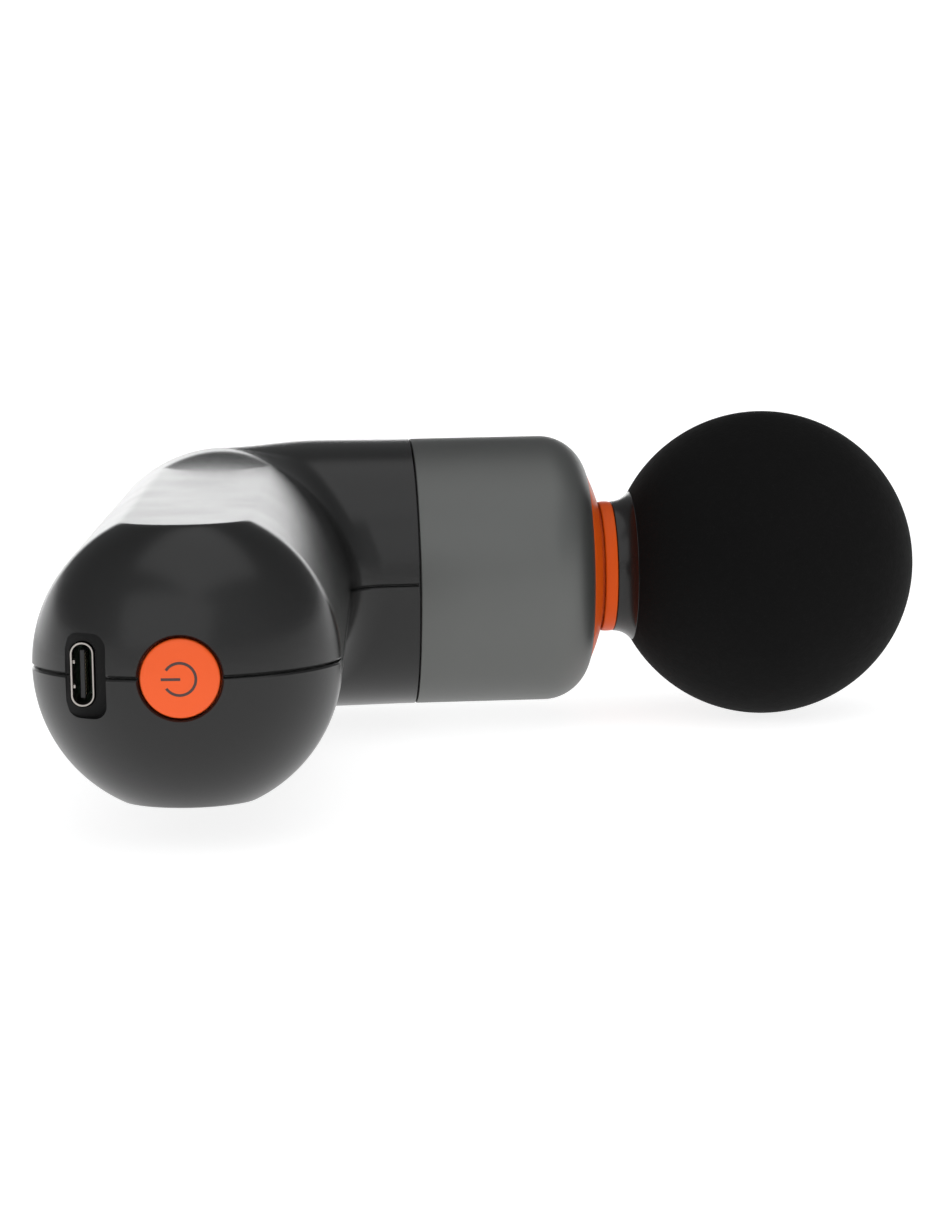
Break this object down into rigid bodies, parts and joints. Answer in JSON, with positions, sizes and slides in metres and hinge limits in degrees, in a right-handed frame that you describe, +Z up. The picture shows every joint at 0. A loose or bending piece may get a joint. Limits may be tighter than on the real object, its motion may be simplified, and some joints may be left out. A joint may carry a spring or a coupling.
{
  "type": "massage gun",
  "caption": "Pocket percussion massage gun: round handle, barrel with metal nose sleeve and a removable foam ball head, lying on its side.",
  "frame": {"origin": "bottom centre of the bounding box, on the plane that the foam ball touches", "axes": "+X along the percussion axis towards the ball, +Y from the handle end towards the elbow, +Z up, normal to the parting plane of the shells"},
  "size_m": [0.1466, 0.1528, 0.052],
  "materials": {
    "shell_plastic": "soft-touch moulded plastic, fine matt texture",
    "gunmetal": "satin anodised gunmetal",
    "accent": "satin orange plastic",
    "seal_rubber": "black rubber",
    "bright_metal": "machined aluminium",
    "steel": "ground steel",
    "bush_plastic": "natural acetal",
    "core_steel": "laminated steel",
    "copper": "enamelled copper wire",
    "magnet": "nickel plated magnet",
    "foam": "black closed-cell foam with fine pores",
    "cell_wrap": "green heat-shrink sleeve",
    "holder_plastic": "black moulded plastic",
    "nickel": "nickel strip",
    "pad_foam": "grey foam pad",
    "board": "green solder mask",
    "chip": "black chip bodies",
    "lead_red": "red insulation",
    "lead_yellow": "yellow insulation",
    "port_steel": "plated port shell",
    "port_black": "black port tongue"
  },
  "bodies": {
    "housing": {"upper_shell": "shell_plastic", "lower_shell": "shell_plastic", "shell_screws": "steel", "screw_plugs": "seal_rubber", "nose_sleeve": "gunmetal", "nose_bezel": "accent", "wiper_seal": "seal_rubber", "drive_frame": "bright_metal", "rear_bush": "bush_plastic", "front_bush": "bush_plastic", "isolator_ring": "seal_rubber", "motor_base": "bright_metal", "motor_screws": "steel", "stator_core": "core_steel", "stator_windings": "copper", "motor_bearings": "steel", "battery_cells": "cell_wrap", "cell_holders": "holder_plastic", "cell_tabs": "nickel", "battery_pad": "pad_foam", "battery_board": "board", "battery_leads": "lead_red", "motor_leads": "lead_yellow", "main_board": "board", "board_parts": "chip", "tact_switch": "chip", "button_guide": "holder_plastic", "usb_shell": "port_steel", "usb_tongue": "port_black"},
    "crank": {"rotor_bell": "core_steel", "rotor_magnets": "magnet", "motor_shaft": "steel", "crank_web": "core_steel", "crank_set_screw": "steel", "crank_pin": "steel", "crank_bearing": "steel", "pin_clip": "core_steel"},
    "piston": {"yoke": "bright_metal", "piston": "bright_metal", "piston_pin": "steel"},
    "head": {"head_core": "shell_plastic", "accent_ring": "accent", "stem_rings": "seal_rubber", "foam_ball": "foam"},
    "button": {"power_button": "accent"}
  },
  "joints": [
    {"name": "crank_turn", "type": "hinge", "parent": "housing", "child": "crank", "pos_m": [-0.04469, 0.05045, 0.026], "axis": [0, 1, 0], "range_deg": [0, 180]},
    {"name": "piston_stroke", "type": "slide", "parent": "housing", "child": "piston", "axis": [1, 0, 0], "range_m": [0, 0.0061]},
    {"name": "head_pull", "type": "slide", "parent": "piston", "child": "head", "axis": [1, 0, 0], "range_m": [0, 0.03]},
    {"name": "button_press", "type": "slide", "parent": "housing", "child": "button", "axis": [0.0628, 0.998, 0], "range_m": [0, 0.0006], "stiffness_N_per_m": 2500}
  ],
  "couplings": [
    {"joint": "piston_stroke", "follows": "crank_turn", "m_per_rad": 0.0019099}
  ]
}
